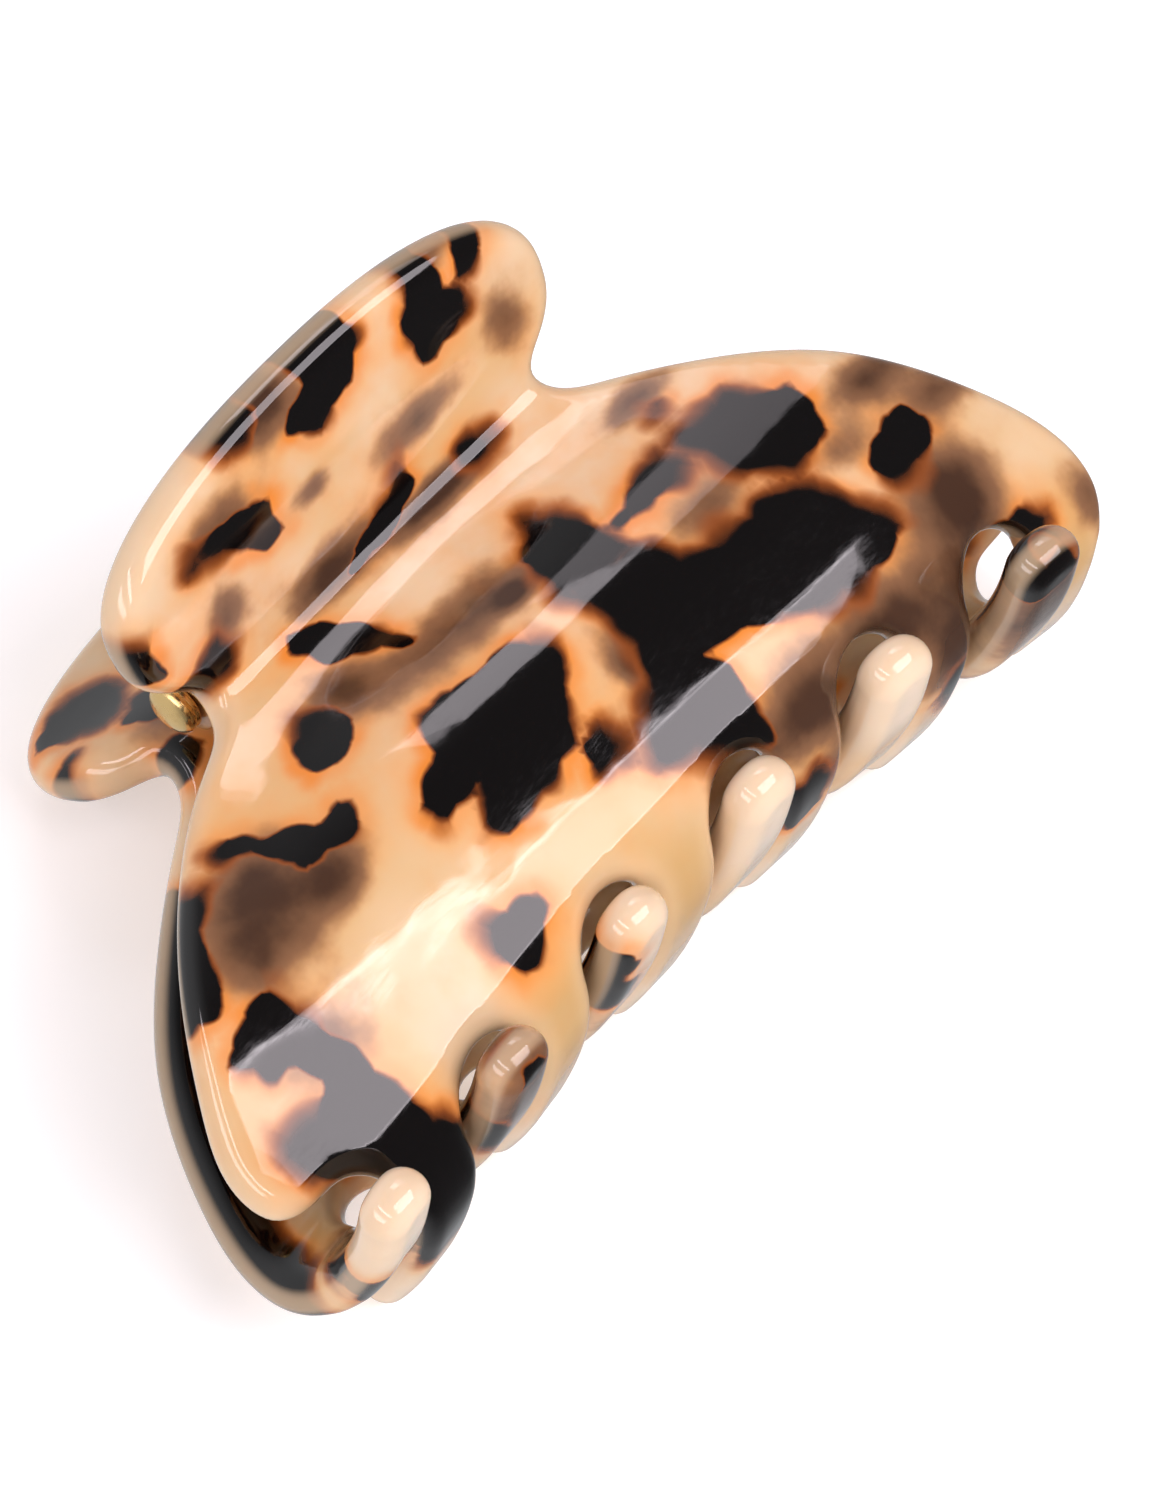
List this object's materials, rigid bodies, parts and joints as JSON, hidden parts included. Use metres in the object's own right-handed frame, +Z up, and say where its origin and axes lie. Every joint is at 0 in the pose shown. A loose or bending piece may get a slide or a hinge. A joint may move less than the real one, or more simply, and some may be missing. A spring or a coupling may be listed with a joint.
{
  "type": "claw clip",
  "caption": "Spring-loaded hair claw clip with two bent acetate jaws whose curved fingers interlock below a pinned hinge and flared finger grips.",
  "frame": {"origin": "on the table, below the middle of the closed clip's bounding box", "axes": "+X along the hinge, +Y from the teeth towards the handles, +Z up, out of the front jaw"},
  "size_m": [0.0908, 0.0572, 0.044],
  "materials": {
    "tortoiseshell_acetate": "polished, translucent",
    "amber_acetate": "polished, translucent",
    "gilt_steel": "polished gilt steel",
    "spring_steel": "drawn wire, gilt"
  },
  "bodies": {
    "back_half": {"back_jaw": "tortoiseshell_acetate", "back_knuckle_outer": "amber_acetate", "back_knuckle_inner": "amber_acetate", "hinge_pin": "gilt_steel", "pin_cap_left": "gilt_steel", "pin_cap_right": "gilt_steel", "torsion_spring": "spring_steel"},
    "front_half": {"front_jaw": "tortoiseshell_acetate", "front_knuckle_outer": "amber_acetate", "front_knuckle_inner": "amber_acetate"}
  },
  "joints": [
    {"name": "jaw_hinge", "type": "hinge", "parent": "back_half", "child": "front_half", "pos_m": [0, 0.01475, 0.02124], "axis": [-1, 0, 0], "range_deg": [0, 85], "stiffness_Nm_per_rad": 0.06, "springref_deg": -45.84, "deforming": ["torsion_spring"]}
  ]
}
